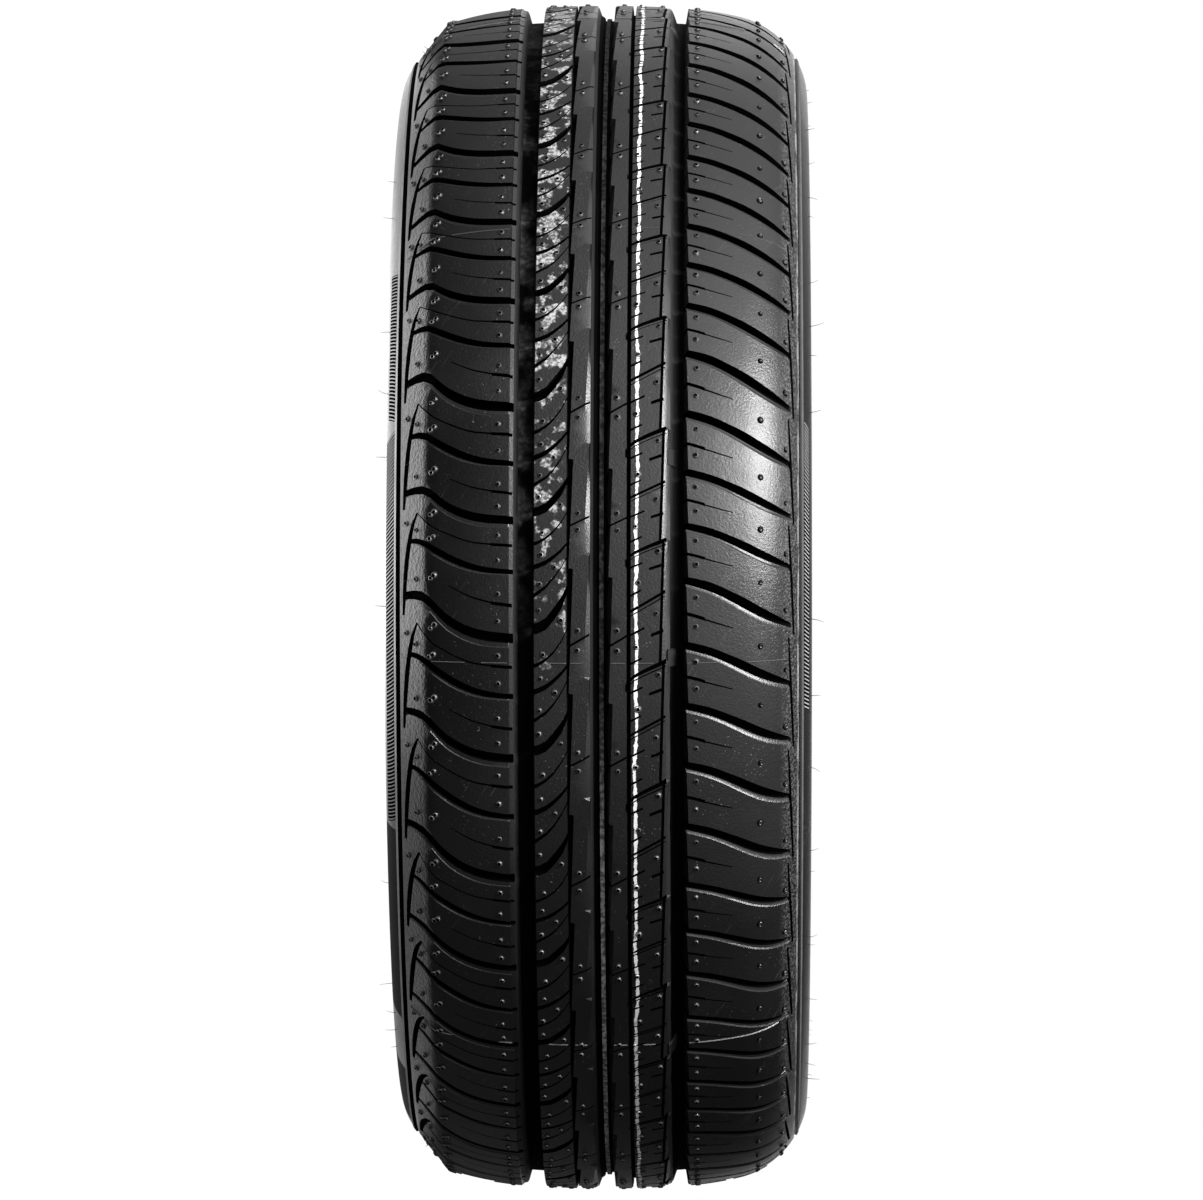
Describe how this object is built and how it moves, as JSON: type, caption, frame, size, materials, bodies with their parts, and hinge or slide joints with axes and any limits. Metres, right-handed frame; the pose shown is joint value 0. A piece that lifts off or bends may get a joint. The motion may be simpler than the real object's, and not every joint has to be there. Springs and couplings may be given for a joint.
{
  "type": "car tyre",
  "caption": "Radial car tyre with an asymmetric road tread: three wide grooves, slotted shoulders and curved rib slots, open at the beads for a wheel rim.",
  "frame": {"origin": "centre of the tyre, on the axle line and midway between the sidewalls", "axes": "+Z along the axle, up from the sidewall that the tyre lies on; +X and +Y across the tyre"},
  "size_m": [0.6317, 0.6318, 0.214],
  "materials": {
    "tyre": "new black moulded rubber, dull, with a soft sheen on the shoulders"
  },
  "bodies": {
    "root": {"tyre": "tyre"}
  },
  "joints": []
}
